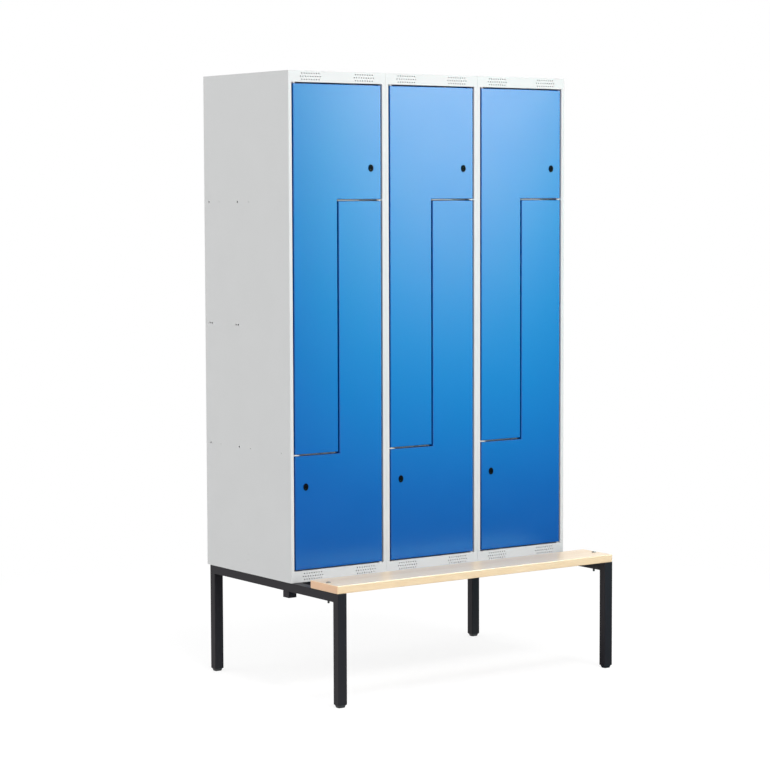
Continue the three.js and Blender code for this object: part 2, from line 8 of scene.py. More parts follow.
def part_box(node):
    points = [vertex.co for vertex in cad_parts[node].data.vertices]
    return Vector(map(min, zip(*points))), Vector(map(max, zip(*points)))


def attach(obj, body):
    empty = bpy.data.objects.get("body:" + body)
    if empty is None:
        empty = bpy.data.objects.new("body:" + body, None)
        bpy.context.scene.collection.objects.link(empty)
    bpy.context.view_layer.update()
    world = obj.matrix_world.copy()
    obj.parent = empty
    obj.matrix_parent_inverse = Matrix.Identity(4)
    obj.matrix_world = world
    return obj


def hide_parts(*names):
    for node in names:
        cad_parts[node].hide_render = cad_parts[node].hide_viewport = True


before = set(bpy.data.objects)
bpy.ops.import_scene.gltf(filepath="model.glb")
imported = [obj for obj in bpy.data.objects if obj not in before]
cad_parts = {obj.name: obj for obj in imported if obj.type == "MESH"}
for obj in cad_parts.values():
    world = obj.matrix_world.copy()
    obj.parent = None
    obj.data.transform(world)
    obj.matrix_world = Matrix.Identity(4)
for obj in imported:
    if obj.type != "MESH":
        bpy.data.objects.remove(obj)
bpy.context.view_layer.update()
mm = 0.001

# Stand
# Two side frames and two cross beams of rectangular steel tube, 35 x 30 mm with a 2 mm wall
# and drawn corners. They are welded, ground flush and coated in black satin powder.


def linear(code, strength=1.0):
    """An sRGB hex colour as linear RGBA, brighter or darker by a factor."""
    parts = [int(code[i : i + 2], 16) / 255 for i in (1, 3, 5)]
    light = [p / 12.92 if p <= 0.04045 else ((p + 0.055) / 1.055) ** 2.4 for p in parts]
    return [*(min(1.0, c * strength) for c in light), 1.0]


def add_node(tree, kind, settings=None, links=None):
    """Adds a node, sets its properties and fills its inputs with values or sockets."""
    node = tree.nodes.new(kind)
    for key, value in (settings or {}).items():
        setattr(node, key, value)
    for key, value in (links or {}).items():
        socket = node.inputs[key]
        if isinstance(value, bpy.types.NodeSocket):
            tree.links.new(value, socket)
        else:
            socket.default_value = value
    return node


def new_material(name, roughness, metallic=0.0):
    """A named material with its shader and its object coordinates."""
    material = bpy.data.materials.new(name)
    material.use_nodes = True
    tree = material.node_tree
    shader = tree.nodes["Principled BSDF"]
    shader.inputs["Roughness"].default_value = roughness
    shader.inputs["Metallic"].default_value = metallic
    place = add_node(tree, "ShaderNodeTexCoord").outputs["Object"]
    return material, tree, shader, place


def mottle(tree, shader, place, size, detail, tones, gloss=None):
    """Clouds of a size between two tones and, where given, between two roughnesses."""
    cloud = add_node(
        tree, "ShaderNodeTexNoise", links={"Vector": place, "Scale": 1 / size, "Detail": detail}
    ).outputs["Fac"]
    tone = add_node(
        tree, "ShaderNodeMix", {"data_type": "RGBA"}, {"Factor": cloud, 6: tones[0], 7: tones[1]}
    )
    tree.links.new(tone.outputs[2], shader.inputs["Base Color"])
    if gloss:
        range_of_gloss = {"Value": cloud, "To Min": gloss[0], "To Max": gloss[1]}
        spread = add_node(tree, "ShaderNodeMapRange", links=range_of_gloss)
        tree.links.new(spread.outputs["Result"], shader.inputs["Roughness"])
    return cloud


def powder_coat(name, colour, roughness, peel, specular):
    """Baked powder: an even colour that clouds by two percent over a hand's width, and an
    orange peel whose dimples are really 1 to 2 mm wide, drawn at 4 mm so that they show."""
    material, tree, shader, place = new_material(name, roughness)
    hand, dimple, dimple_depth = 140 * mm, 4 * mm, 0.1 * mm
    clouding, gloss_change = 0.02, 0.025
    tones = (linear(colour, 1 - clouding), linear(colour, 1 + clouding))
    gloss = (roughness - gloss_change, roughness + gloss_change)
    mottle(tree, shader, place, hand, 2.0, tones, gloss)
    dimples = add_node(
        tree, "ShaderNodeTexNoise", links={"Vector": place, "Scale": 1 / dimple, "Detail": 1.0}
    )
    bump = add_node(
        tree,
        "ShaderNodeBump",
        links={"Height": dimples.outputs["Fac"], "Strength": peel, "Distance": dimple_depth},
    )
    tree.links.new(bump.outputs["Normal"], shader.inputs["Normal"])
    shader.inputs["Specular IOR Level"].default_value = specular
    return material


def shown(name, shape, material):
    """A mesh object from a bmesh, in one material."""
    mesh = bpy.data.meshes.new(name)
    shape.to_mesh(mesh)
    shape.free()
    mesh.materials.append(material)
    piece = bpy.data.objects.new(name, mesh)
    bpy.context.scene.collection.objects.link(piece)
    return piece


def settle(piece, round_edge=0.0, steps=3, wall=0.0, cutter=None):
    """Rounds a piece's edges, gives it its wall, drills it and keeps the result as a plain
    mesh, smooth except across sharp edges."""
    if round_edge:
        bevel = piece.modifiers.new("rounded", "BEVEL")
        bevel.width = round_edge
        bevel.segments = steps
        bevel.limit_method = "ANGLE"
        bevel.angle_limit = math.radians(32)
        bevel.miter_outer = "MITER_ARC"
    if wall:
        solid = piece.modifiers.new("wall", "SOLIDIFY")
        solid.thickness = wall
        solid.offset = -1
        solid.use_even_offset = True
    if cutter:
        drill = piece.modifiers.new("drilled", "BOOLEAN")
        drill.operation = "DIFFERENCE"
        drill.solver = "EXACT"
        drill.object = cutter
    weigh = piece.modifiers.new("shading", "WEIGHTED_NORMAL")
    weigh.keep_sharp = True
    for face in piece.data.polygons:
        face.use_smooth = True
    piece.data.set_sharp_from_angle(angle=math.radians(50))
    bpy.context.view_layer.update()
    seen = piece.evaluated_get(bpy.context.evaluated_depsgraph_get())
    plain = bpy.data.meshes.new_from_object(seen)
    piece.modifiers.clear()
    piece.data = plain
    if cutter:
        bpy.data.objects.remove(cutter)
    return piece


def seat(piece, body, finish, *nodes):
    """The piece moves with a body and stands for CAD nodes. The finish argument is not used."""
    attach(piece, body)
    if nodes:
        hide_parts(*nodes)


def loft(shape, rings, start=True, end=True):
    """Quads between closed rings of as many points, with its ends filled where asked."""
    rows = [[shape.verts.new(point) for point in ring] for ring in rings]
    count = len(rows[0])
    for a, b in zip(rows, rows[1:]):
        for i in range(count):
            j = (i + 1) % count
            shape.faces.new((a[i], a[j], b[j], b[i]))
    if start:
        shape.faces.new(list(reversed(rows[0])))
    if end:
        shape.faces.new(rows[-1])


def lofted(rings, start=True, end=True):
    """A new shape through rings, with its faces pointing outwards."""
    shape = bmesh.new()
    loft(shape, rings, start, end)
    bmesh.ops.recalc_face_normals(shape, faces=shape.faces)
    return shape


stand_coat = powder_coat("black satin powder coat", "#242226", 0.42, 0.25, 0.12)
tube_depth, tube_wall = 30 * mm, 2 * mm
tube_corner, corner_steps = 1.5 * mm, 4

for side in ("left", "right"):
    low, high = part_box(f"side_frame_{side}")
    under = high.z - tube_depth
    outline = [
        (low.y, low.z),
        (low.y + tube_depth, low.z),
        (low.y + tube_depth, under),
        (high.y - tube_depth, under),
        (high.y - tube_depth, low.z),
        (high.y, low.z),
        (high.y, high.z),
        (low.y, high.z),
    ]
    shape = lofted([[(x, y, z) for y, z in outline] for x in (low.x, high.x)])
    soles = [f for f in shape.faces if f.calc_center_median().z < low.z + mm]
    bmesh.ops.delete(shape, geom=soles, context="FACES_ONLY")
    tube = shown(f"stand_side_{side}", shape, stand_coat)
    settle(tube, tube_corner, corner_steps, tube_wall)
    seat(tube, "locker", "stand_paint", f"side_frame_{side}")

for node in ("front_beam", "rear_beam"):
    low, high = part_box(node)
    ring = [(low.y, low.z), (high.y, low.z), (high.y, high.z), (low.y, high.z)]
    shape = lofted([[(x, y, z) for y, z in ring] for x in (low.x, high.x)], False, False)
    beam = settle(shown(f"stand_{node}", shape, stand_coat), tube_corner, corner_steps, tube_wall)
    seat(beam, "locker", "stand_paint", node)

# Saddle blocks, folded from 3 mm sheet and coated with the stand, and the zinc-plated M8
# bolts that pull them up against the rails. The bolts' heads sit in the open underside.


def eased_copy(node, name, material, round_edge, steps=2):
    """A CAD node's shape with its edges rounded."""
    shape = bmesh.new()
    shape.from_mesh(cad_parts[node].data)
    bmesh.ops.remove_doubles(shape, verts=shape.verts, dist=0.01 * mm)
    bmesh.ops.dissolve_limit(
        shape, angle_limit=math.radians(1), verts=shape.verts, edges=shape.edges
    )
    return settle(shown(name, shape, material), round_edge, steps)


def zinc_plate(name, colour, roughness, shine=1.0):
    """Zinc on steel: a metal whose passivation and gloss cloud over about 9 mm, from bluish
    and smoother to yellowish and duller."""
    material, tree, shader, place = new_material(name, roughness, 1.0)
    cloud_size = 9 * mm
    tones = (linear(colour, 0.86), linear("#C6C3B8", shine))
    gloss = (roughness - 0.07, roughness + 0.1)
    mottle(tree, shader, place, cloud_size, 3.0, tones, gloss)
    return material


zinc = zinc_plate("bright zinc-plated steel", "#B9BCC0", 0.32)
for side in ("left", "right"):
    block = eased_copy(f"saddle_block_{side}", f"saddle_{side}", stand_coat, 0.8 * mm, 3)
    seat(block, "locker", "stand_paint", f"saddle_block_{side}")
    bolt = eased_copy(f"fixing_bolt_{side}", f"body_bolt_{side}", zinc, 0.4 * mm)
    seat(bolt, "locker", "zinc_steel", f"fixing_bolt_{side}")
    nut = eased_copy(f"rivet_nut_{side}", f"bench_nut_{side}", zinc, 0.2 * mm)
    seat(nut, "locker", "zinc_steel", f"rivet_nut_{side}")

# Feet: black polyamide glides with a pad that tapers to the floor and a ribbed plug that is
# knocked into the leg. Moulded, so matt with a fine grain.


def moulded_plastic(name, colour, roughness, grain, depth=0.2):
    """Moulded plastic: an even colour with the spark-eroded grain of its mould."""
    material, tree, shader, place = new_material(name, roughness)
    tones = (linear(colour, 0.85), linear(colour, 1.15))
    specks = mottle(tree, shader, place, grain, 2.0, tones)
    bump = add_node(
        tree, "ShaderNodeBump", links={"Height": specks, "Strength": depth, "Distance": 0.05 * mm}
    )
    tree.links.new(bump.outputs["Normal"], shader.inputs["Normal"])
    return material


def rounded_ring(centre, width, depth, radius, z, steps=5):
    """A rounded rectangle of points at a height."""
    points = []
    for k, (sx, sy) in enumerate(((1, 1), (-1, 1), (-1, -1), (1, -1))):
        for i in range(steps + 1):
            angle = (k + i / steps) * math.pi / 2
            points.append(
                (
                    centre.x + sx * (width / 2 - radius) + radius * math.cos(angle),
                    centre.y + sy * (depth / 2 - radius) + radius * math.sin(angle),
                    z,
                )
            )
    return points


foot_plastic = moulded_plastic("black polyamide", "#1B1B1D", 0.6, 0.8 * mm)
pad_corner, plug_corner = 7 * mm, 2.5 * mm
plug_narrower = 5 * mm
# The pad as (share of its width, height in mm) and the plug as (width, height), both in mm.
pad = [(0.74, 0.0), (0.78, 0.6), (0.93, 7.4), (1.0, 8.0), (1.0, 9.3), (0.97, 9.7)]
plug = [(30.0, 9.7), (30.4, 12.0), (29.0, 13.0), (30.4, 18.0)]
plug += [(29.0, 19.0), (30.4, 24.0), (27.0, 30.0)]
for place in ("front_left", "front_right", "rear_left", "rear_right"):
    low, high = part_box(f"foot_{place}")
    middle = (low + high) / 2
    size = high - low
    rings = [rounded_ring(middle, size.x * s, size.y * s, pad_corner * s, z * mm) for s, z in pad]
    rings += [
        rounded_ring(middle, w * mm, w * mm - plug_narrower, plug_corner, z * mm) for w, z in plug
    ]
    shape = bmesh.new()
    loft(shape, rings)
    foot = settle(shown(f"glide_{place}", shape, foot_plastic))
    seat(foot, "locker", "foot_plastic", f"foot_{place}")

# Bench
# The board is solid birch, glued from staves 41 mm wide, with rounded corners and eased
# edges, under clear satin varnish. Its grain runs along the bench.


def varnished_birch():
    """Birch: pale staves of slightly different tone, grain lines under 1 mm drawn at 1.5 mm
    so that they show, a slow flame figure, and darker, pinker end grain."""
    material, tree, shader, place = new_material("clear varnished birch", 0.34)
    stave, grain_line, flame_size, ray_size = 41 * mm, 1.5 * mm, 22 * mm, 1.2 * mm
    stave_slide = 3.0
    across = add_node(tree, "ShaderNodeSeparateXYZ", links={0: place}).outputs["Y"]
    staves = add_node(tree, "ShaderNodeMath", {"operation": "DIVIDE"}, {0: across, 1: stave})
    strip = add_node(tree, "ShaderNodeMath", {"operation": "FLOOR"}, {0: staves.outputs[0]})
    chance = add_node(
        tree, "ShaderNodeTexWhiteNoise", {"noise_dimensions": "1D"}, {"W": strip.outputs[0]}
    ).outputs["Value"]
    shift = add_node(
        tree, "ShaderNodeMath", {"operation": "MULTIPLY"}, {0: chance, 1: stave_slide}
    ).outputs[0]
    drawn_out = []
    for slide, squeeze in (((1, 1, 0), (0.03, 1, 1)), ((1, 0, 0), (0.09, 1, 1))):
        moved = add_node(
            tree,
            "ShaderNodeVectorMath",
            {"operation": "MULTIPLY_ADD"},
            {0: shift, 1: slide, 2: place},
        ).outputs[0]
        long = add_node(
            tree, "ShaderNodeVectorMath", {"operation": "MULTIPLY"}, {0: moved, 1: squeeze}
        )
        drawn_out.append(long.outputs[0])
    lines = add_node(
        tree,
        "ShaderNodeTexNoise",
        links={"Vector": drawn_out[0], "Scale": 1 / grain_line, "Detail": 3.0, "Roughness": 0.6},
    ).outputs["Fac"]
    flame = add_node(
        tree,
        "ShaderNodeTexNoise",
        links={"Vector": drawn_out[1], "Scale": 1 / flame_size, "Detail": 2.0, "Distortion": 0.8},
    )
    figure = add_node(
        tree,
        "ShaderNodeMix",
        {"data_type": "RGBA"},
        {"Factor": flame.outputs["Fac"], 6: linear("#F3E2C6"), 7: linear("#E6CCA2")},
    )
    grain = add_node(
        tree,
        "ShaderNodeMapRange",
        links={"Value": lines, "From Min": 0.52, "From Max": 0.78, "To Max": 0.5},
    )
    marked = add_node(
        tree,
        "ShaderNodeMix",
        {"data_type": "RGBA"},
        {"Factor": grain.outputs["Result"], 6: figure.outputs[2], 7: linear("#CBA374")},
    )
    tone_share = add_node(tree, "ShaderNodeMath", {"operation": "MULTIPLY"}, {0: chance, 1: 0.5})
    toned = add_node(
        tree,
        "ShaderNodeMix",
        {"data_type": "RGBA", "blend_type": "MULTIPLY"},
        {"Factor": tone_share.outputs[0], 6: marked.outputs[2], 7: linear("#EBD8BC")},
    )
    rays = add_node(
        tree, "ShaderNodeTexNoise", links={"Vector": place, "Scale": 1 / ray_size, "Detail": 2.0}
    )
    end_grain = add_node(
        tree,
        "ShaderNodeMix",
        {"data_type": "RGBA"},
        {"Factor": rays.outputs["Fac"], 6: linear("#D6A680"), 7: linear("#E8C29C")},
    )
    normal = add_node(tree, "ShaderNodeTexCoord").outputs["Normal"]
    facing = add_node(tree, "ShaderNodeSeparateXYZ", links={0: normal}).outputs["X"]
    aside = add_node(tree, "ShaderNodeMath", {"operation": "ABSOLUTE"}, {0: facing}).outputs[0]
    endwise = add_node(tree, "ShaderNodeMath", {"operation": "GREATER_THAN"}, {0: aside, 1: 0.8})
    wood = add_node(
        tree,
        "ShaderNodeMix",
        {"data_type": "RGBA"},
        {"Factor": endwise.outputs[0], 6: toned.outputs[2], 7: end_grain.outputs[2]},
    )
    tree.links.new(wood.outputs[2], shader.inputs["Base Color"])
    bump = add_node(
        tree, "ShaderNodeBump", links={"Height": lines, "Strength": 0.12, "Distance": 0.1 * mm}
    )
    tree.links.new(bump.outputs["Normal"], shader.inputs["Normal"])
    shader.inputs["Coat Weight"].default_value = 0.35
    shader.inputs["Coat Roughness"].default_value = 0.22
    return material


low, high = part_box("bench_board")
middle = (low + high) / 2
size = high - low
ease, ease_steps = 2.5 * mm, 4
corner, corner_points = 6 * mm, 8
rings = []
for top in (False, True):
    for i in range(ease_steps + 1):
        turn = i / ease_steps * math.pi / 2
        if top:
            pulled_in = ease * (1 - math.cos(turn))
            z = high.z - ease * (1 - math.sin(turn))
        else:
            pulled_in = ease * (1 - math.sin(turn))
            z = low.z + ease * (1 - math.cos(turn))
        width, depth = size.x - 2 * pulled_in, size.y - 2 * pulled_in
        rings.append(rounded_ring(middle, width, depth, corner - pulled_in, z, corner_points))
shape = bmesh.new()
loft(shape, rings)
board = settle(shown("bench_plank", shape, varnished_birch()))
seat(board, "locker", "board_wood", "bench_board")

# Bench bolts: M8 screws with a flat round head and a hexagon socket, in darker zinc-nickel
# plate. They go down through the board and the side rails, and their tips show below.


def turned_shape(shape, centre, profile, steps=32):
    """A solid of revolution about a vertical line, from (radius, height) pairs."""
    turns = [2 * math.pi * i / steps for i in range(steps)]
    rings = [
        [(centre[0] + r * math.cos(turn), centre[1] + r * math.sin(turn), z) for turn in turns]
        for r, z in profile
    ]
    loft(shape, rings)


dark_zinc = zinc_plate("zinc-nickel-plated steel", "#77797D", 0.38, 0.4)
tip, root, crest, shank = 3.2 * mm, 3.4 * mm, 3.9 * mm, 4 * mm
tip_height, pitch, threaded = 0.7 * mm, 1.1 * mm, 14 * mm
head_height = 3 * mm
# The head's round edge as (radius, height over its seat), in mm.
dome = [(7.7, 0.0), (8.0, 0.3), (8.0, 1.0), (7.5, 1.8), (6.2, 2.5)]
socket_radius, socket_depth = 2.9 * mm, 2.2 * mm
for side in ("left", "right"):
    low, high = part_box(f"bench_bolt_{side}")
    centre = (low + high) / 2
    seat_z = high.z - head_height
    z = low.z + tip_height
    profile = [(tip, low.z), (crest, z)]
    while z < low.z + threaded:
        profile += [(root, z + pitch / 2), (crest, z + pitch)]
        z += pitch
    profile += [(shank, z + 0.5 * mm), (shank, seat_z)]
    profile += [(r * mm, seat_z + rise * mm) for r, rise in dome]
    profile += [(4.6 * mm, high.z - 0.05 * mm), (3.3 * mm, high.z)]
    shape = bmesh.new()
    turned_shape(shape, centre, profile)
    socket = bmesh.new()
    socket_sides = [(socket_radius, high.z - socket_depth), (socket_radius, high.z + mm)]
    turned_shape(socket, centre, socket_sides, 6)
    bolt = settle(
        shown(f"bench_screw_{side}", shape, dark_zinc),
        cutter=shown("hexagon socket", socket, dark_zinc),
    )
    seat(bolt, "locker", "zinc_steel", f"bench_bolt_{side}")

# Body
# Side panels: 1 mm steel sheet, folded inwards at the front corner and behind, punched with
# 7 mm holes for joining lockers in a row and 3.5 mm holes for the shelves' blind rivets.
# Everything on the body is coated in light grey powder.
body_coat = powder_coat("light grey powder coat", "#CECFCF", 0.45, 0.18, 0.15)
sheet = 1 * mm
fold = 1.6 * mm
inner_fold = fold - sheet


def arc(centre_x, centre_y, radius, start, end, steps=4):
    """Points of a fold, in degrees from start to end."""
    points = []
    for i in range(steps + 1):
        angle = math.radians(start + (end - start) * i / steps)
        points.append((centre_x + radius * math.cos(angle), centre_y + radius * math.sin(angle)))
    return points


def drill_rods(shape, rods, steps=16):
    """Adds cylinders, to cut with or to keep: (axis, centre, diameter, length)."""
    turns = {
        "X": Matrix.Rotation(math.pi / 2, 4, "Y"),
        "Y": Matrix.Rotation(math.pi / 2, 4, "X"),
        "Z": Matrix.Identity(4),
    }
    for axis, centre, diameter, length in rods:
        bmesh.ops.create_cone(
            shape,
            cap_ends=True,
            segments=steps,
            radius1=diameter / 2,
            radius2=diameter / 2,
            depth=length,
            matrix=Matrix.Translation(centre) @ turns[axis],
        )


front_lip, rear_flange = 11 * mm, 14 * mm
join_hole, rivet_hole, drill_length = 7 * mm, 3.5 * mm, 6 * mm
row_rise = 428 * mm
# Distances in mm from the rear edge, and for the lowest rivets also from the bottom edge.
outer_joins, middle_joins = (32.5, 222), (32.5, 47, 207.5, 222)
shelf_rivets, low_rivets_back, low_rivets_up = (100, 296.5, 493), 274, (49.8, 68.7)
for side, sign in (("left", -1), ("right", 1)):
    low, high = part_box(f"side_panel_{side}")
    outer = low.x if sign < 0 else high.x
    front, rear = low.y, high.y
    profile = [
        *arc(fold, front + fold, fold, 180, 270),
        (front_lip, front),
        (front_lip, front + sheet),
        *arc(fold, front + fold, inner_fold, 270, 180),
        *arc(fold, rear - fold, inner_fold, 180, 90),
        (rear_flange, rear - sheet),
        (rear_flange, rear),
        *arc(fold, rear - fold, fold, 90, 180),
    ]
    shape = lofted([[(outer - sign * x, y, z) for x, y in profile] for z in (low.z, high.z)])
    centre_z = (low.z + high.z) / 2
    spots = [(back, rise, join_hole) for back in outer_joins for rise in (-row_rise, row_rise)]
    spots += [(back, 0, join_hole) for back in middle_joins]
    spots += [(back, rise, rivet_hole) for back in shelf_rivets for rise in (-row_rise, row_rise)]
    spots += [(low_rivets_back, low.z - centre_z + up * mm, rivet_hole) for up in low_rivets_up]
    rods = [
        ("X", (outer, rear - back * mm, centre_z + z), size, drill_length)
        for back, z, size in spots
    ]
    holes = bmesh.new()
    drill_rods(holes, rods)
    panel = settle(
        shown(f"body_side_{side}", shape, body_coat), cutter=shown("side holes", holes, body_coat)
    )
    seat(panel, "locker", "body_paint", f"side_panel_{side}")

# Top, bottom and back panels, the walls between the modules, and inside each module the
# divider and the two shelves: 1 mm sheet with folded edges, held by spot welds and rivets.
flat_nodes = ["top_panel", "bottom_panel", "back_panel"]
flat_nodes += ["partition_wall_left_centre", "partition_wall_centre_right"]
for name in ("left", "centre", "right"):
    flat_nodes += [f"centre_divider_{name}", f"upper_shelf_{name}", f"lower_shelf_{name}"]
for node in flat_nodes:
    seat(eased_copy(node, f"sheet_{node}", body_coat, 0.25 * mm), "locker", "body_paint", node)

# Front frames
# One pressed frame a module: a flat face, four groups of punched vent holes, and edges
# folded back 24 mm round the opening. The door pins hang from its head and stand on lugs.


def vent_plate_tree():
    """Geometry tree of the punched face: an outline, the opening and the vent holes."""
    tree = bpy.data.node_groups.new("punched frame face", "GeometryNodeTree")
    face = tree.interface
    sizes = ("Width", "Height", "Opening Width", "Opening Height", "Sheet")
    sizes += ("Hole Diameter", "Hole Pitch", "Row Spacing", "Group Spacing X", "Group Spacing Z")
    for name in sizes:
        face.new_socket(name, in_out="INPUT", socket_type="NodeSocketFloat")
    face.new_socket("Material", in_out="INPUT", socket_type="NodeSocketMaterial")
    face.new_socket("Geometry", in_out="OUTPUT", socket_type="NodeSocketGeometry")
    given = add_node(tree, "NodeGroupInput").outputs
    step = add_node(
        tree, "ShaderNodeCombineXYZ", links={0: given["Hole Pitch"], 1: given["Row Spacing"]}
    ).outputs[0]
    along = add_node(
        tree, "ShaderNodeVectorMath", {"operation": "MULTIPLY"}, {0: step, 1: (1, 0, 0)}
    ).outputs[0]
    rows = add_node(tree, "GeometryNodeJoinGeometry")
    for count, row in ((8, -1), (9, 0), (8, 1)):
        first = ((1 - count) / 2, row, 0)
        start = add_node(
            tree, "ShaderNodeVectorMath", {"operation": "MULTIPLY"}, {0: step, 1: first}
        ).outputs[0]
        line = add_node(
            tree,
            "GeometryNodeMeshLine",
            {"mode": "OFFSET"},
            {"Count": count, "Start Location": start, "Offset": along},
        )
        tree.links.new(line.outputs[0], rows.inputs[0])
    groups = add_node(
        tree,
        "GeometryNodeMeshGrid",
        links={
            "Size X": given["Group Spacing X"],
            "Size Y": given["Group Spacing Z"],
            "Vertices X": 2,
            "Vertices Y": 2,
        },
    )
    spots = add_node(
        tree,
        "GeometryNodeInstanceOnPoints",
        links={"Points": groups.outputs[0], "Instance": rows.outputs[0]},
    )
    spots = add_node(tree, "GeometryNodeRealizeInstances", links={0: spots.outputs[0]})
    radius = add_node(
        tree, "ShaderNodeMath", {"operation": "MULTIPLY"}, {0: given["Hole Diameter"], 1: 0.5}
    )
    ring = add_node(
        tree,
        "GeometryNodeCurvePrimitiveCircle",
        links={"Resolution": 14, "Radius": radius.outputs[0]},
    )
    vents = add_node(
        tree,
        "GeometryNodeInstanceOnPoints",
        links={"Points": spots.outputs[0], "Instance": ring.outputs[0]},
    )
    vents = add_node(tree, "GeometryNodeRealizeInstances", links={0: vents.outputs[0]})
    edges = add_node(tree, "GeometryNodeJoinGeometry")
    for part in ("", "Opening "):
        sides = {"Width": given[f"{part}Width"], "Height": given[f"{part}Height"]}
        outline = add_node(tree, "GeometryNodeCurvePrimitiveQuadrilateral", links=sides)
        tree.links.new(outline.outputs[0], edges.inputs[0])
    tree.links.new(vents.outputs[0], edges.inputs[0])
    skin = add_node(tree, "GeometryNodeFillCurve", links={0: edges.outputs[0]})
    thick = add_node(
        tree,
        "GeometryNodeExtrudeMesh",
        links={"Mesh": skin.outputs[0], "Offset Scale": given["Sheet"], "Individual": False},
    )
    under = add_node(tree, "GeometryNodeFlipFaces", links={0: skin.outputs[0]})
    both = add_node(tree, "GeometryNodeJoinGeometry")
    tree.links.new(thick.outputs[0], both.inputs[0])
    tree.links.new(under.outputs[0], both.inputs[0])
    closed = add_node(
        tree,
        "GeometryNodeMergeByDistance",
        links={"Geometry": both.outputs[0], "Distance": 0.01 * mm},
    )
    real = add_node(tree, "GeometryNodeRealizeInstances", links={0: closed.outputs[0]})
    made = add_node(
        tree,
        "GeometryNodeSetMaterial",
        links={"Geometry": real.outputs[0], "Material": given["Material"]},
    )
    add_node(tree, "NodeGroupOutput", links={0: made.outputs[0]})
    return tree


def grown(name, tree, values):
    """Runs a geometry tree with its named inputs and keeps the plain mesh."""
    host = bpy.data.objects.new(name, bpy.data.meshes.new(name))
    bpy.context.scene.collection.objects.link(host)
    maker = host.modifiers.new("made", "NODES")
    maker.node_group = tree
    for item in tree.interface.items_tree:
        if item.name in values:
            maker[item.identifier] = values[item.name]
    bpy.context.view_layer.update()
    seen = host.evaluated_get(bpy.context.evaluated_depsgraph_get())
    mesh = bpy.data.meshes.new_from_object(seen)
    host.modifiers.clear()
    bpy.data.objects.remove(host)
    return mesh


low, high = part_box("front_frame_centre")
module_width, module_height = high.x - low.x, high.z - low.z
stile_width, rail_height, half_module = 13.5 * mm, 39 * mm, 200 * mm
opening = Vector((2 * (half_module - stile_width), 0, module_height - 2 * rail_height))
edge_round = 0.9 * mm
punched = grown(
    "punched face",
    vent_plate_tree(),
    {
        "Width": module_width - 2 * edge_round,
        "Height": module_height - 2 * edge_round,
        "Opening Width": opening.x + 2 * fold,
        "Opening Height": opening.z + 2 * fold,
        "Sheet": sheet,
        "Hole Diameter": 4.4 * mm,
        "Hole Pitch": 10 * mm,
        "Row Spacing": 10.3 * mm,
        "Group Spacing X": 220 * mm,
        "Group Spacing Z": module_height - rail_height,
        "Material": body_coat,
    },
)
shape = bmesh.new()
shape.from_mesh(punched)
shape.transform(Matrix.Rotation(math.pi / 2, 4, "X"))
bmesh.ops.recalc_face_normals(shape, faces=shape.faces)
shape.transform(Matrix.Translation((0, -min(v.co.y for v in shape.verts), 0)))
least_edge = 100 * mm * sheet
long_edges = [f for f in shape.faces if abs(f.normal.y) < 0.5 and f.calc_area() > least_edge]
bmesh.ops.delete(shape, geom=long_edges, context="FACES")
frame_return = 24 * mm
folded_edge = [
    *arc(fold, fold, fold, 270, 180),
    (0, frame_return),
    (sheet, frame_return),
    *arc(fold, fold, inner_fold, 180, 270),
]
outer_edge = [*arc(-edge_round, edge_round, edge_round, 270, 360), (0, sheet), (-edge_round, sheet)]
for half_x, half_z, section in (
    (opening.x / 2, opening.z / 2, folded_edge),
    (module_width / 2, module_height / 2, outer_edge),
):
    rows = []
    for out, y in section:
        x, z = half_x + out, half_z + out
        rows.append([(-x, y, -z), (x, y, -z), (x, y, z), (-x, y, z)])
    loft(shape, rows, False, False)
bmesh.ops.remove_doubles(shape, verts=shape.verts, dist=0.02 * mm)
bmesh.ops.recalc_face_normals(shape, faces=shape.faces)
recess, door_gap, top_gap = 0.5 * mm, 6 * mm, 4.5 * mm
pin_inset, cut_height = 5 * mm, 437 * mm
half_door = opening.x / 2 - door_gap
pivot = Vector((pin_inset - half_door, recess + pin_inset, 0))
cut = module_height / 2 - cut_height
head = opening.z / 2
door_top = head - top_gap
pin, collar, sunk = 6 * mm, 9 * mm, 0.5 * mm
top_pin_reach, top_collar_gap = 8 * mm, 0.3 * mm
lug_pin_height, lug_collar_height = 11 * mm, 2.7 * mm
lug_width, lug_thickness = 22.5 * mm, 3 * mm
lug_centre = Vector(((lug_width - sheet - opening.x) / 2, (recess + frame_return) / 2, -cut))
for turn in (1, -1):
    x = pivot.x * turn
    for z0, z1, size in (
        (door_top - top_pin_reach, head + sunk, pin),
        (door_top + top_collar_gap, head + sunk, collar),
        (-cut, lug_pin_height - cut, pin),
        (-cut, lug_collar_height - cut, collar),
    ):
        drill_rods(shape, [("Z", (x, pivot.y, turn * (z0 + z1) / 2), size, z1 - z0)], 24)
    lug = Matrix.Translation((turn * lug_centre.x, lug_centre.y, turn * lug_centre.z))
    lug_size = Matrix.Diagonal((lug_width, frame_return - recess, lug_thickness, 1))
    bmesh.ops.create_cube(shape, size=1, matrix=lug @ lug_size)
one_frame = settle(shown("frame pattern", shape, body_coat))
module_origin = {}
for name in ("left", "centre", "right"):
    low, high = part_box(f"front_frame_{name}")
    module_origin[name] = Vector(((low.x + high.x) / 2, low.y, (low.z + high.z) / 2))
    mesh = one_frame.data.copy()
    mesh.transform(Matrix.Translation(module_origin[name]))
    piece = bpy.data.objects.new(f"pressed_frame_{name}", mesh)
    bpy.context.scene.collection.objects.link(piece)
    seat(piece, "locker", "body_paint", f"front_frame_{name}")
bpy.data.objects.remove(one_frame)

# Doors
# Each pair meets in a Z-shaped cut. A door is a folded pan of 1 mm sheet, 18 mm deep, with
# 8 mm lips and a hat-section stiffener behind its arm, in blue satin powder coat. The lower
# door is the upper one turned half round.
door_coat = powder_coat("blue satin powder coat", "#0052A2", 0.26, 0.12, 0.5)


